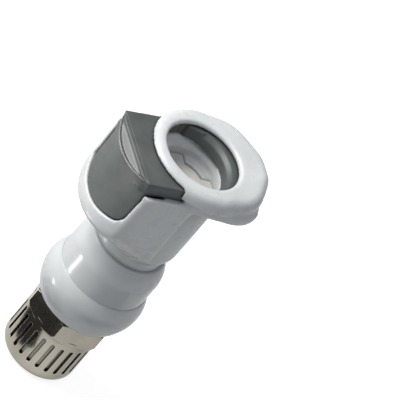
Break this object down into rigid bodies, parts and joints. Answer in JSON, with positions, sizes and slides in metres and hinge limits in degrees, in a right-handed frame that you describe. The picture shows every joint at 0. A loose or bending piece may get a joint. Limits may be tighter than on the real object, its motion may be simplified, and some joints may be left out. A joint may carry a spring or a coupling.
{
  "type": "plastic quick disconnect coupling",
  "caption": "Valved plastic quick disconnect coupling body with a thumb latch, a round mouth, a soft-ringed tube adapter and a hexagonal metal compression nut.",
  "frame": {"origin": "centre of the compression nut's flat end face, where the tube enters, which is also the face the part stands on", "axes": "+Z along the flow axis from the nut to the mouth, +X towards the thumb button, +Y completes the right-handed set"},
  "size_m": [0.0361, 0.0284, 0.0698],
  "materials": {
    "white_plastic": "semi-gloss, slightly milky",
    "adapter_plastic": "glossy",
    "valve_plastic": "satin",
    "grey_plastic": "fine satin",
    "plated_brass": "bright nickel plate",
    "spring_steel": "bright drawn wire",
    "seal_rubber": "matte"
  },
  "bodies": {
    "coupling_body": {"main_body": "white_plastic", "tube_adapter": "adapter_plastic", "adapter_seal": "seal_rubber", "valve_spring": "spring_steel", "latch_spring": "spring_steel"},
    "latch": {"thumb_latch": "grey_plastic"},
    "poppet": {"valve_poppet": "valve_plastic", "valve_seal": "seal_rubber"},
    "nut": {"compression_nut": "plated_brass"}
  },
  "joints": [
    {"name": "latch_press", "type": "slide", "parent": "coupling_body", "child": "latch", "axis": [-1, 0, 0], "range_m": [0, 0.0024], "stiffness_N_per_m": 800, "springref_m": -0.003, "deforming": ["latch_spring"]},
    {"name": "valve_open", "type": "slide", "parent": "coupling_body", "child": "poppet", "axis": [0, 0, -1], "range_m": [0, 0.004], "stiffness_N_per_m": 500, "springref_m": -0.004, "deforming": ["valve_spring"]},
    {"name": "nut_turn", "type": "hinge", "parent": "coupling_body", "child": "nut", "pos_m": [0, 0, 0], "axis": [0, 0, 1], "range_deg": [0, 2610]}
  ]
}
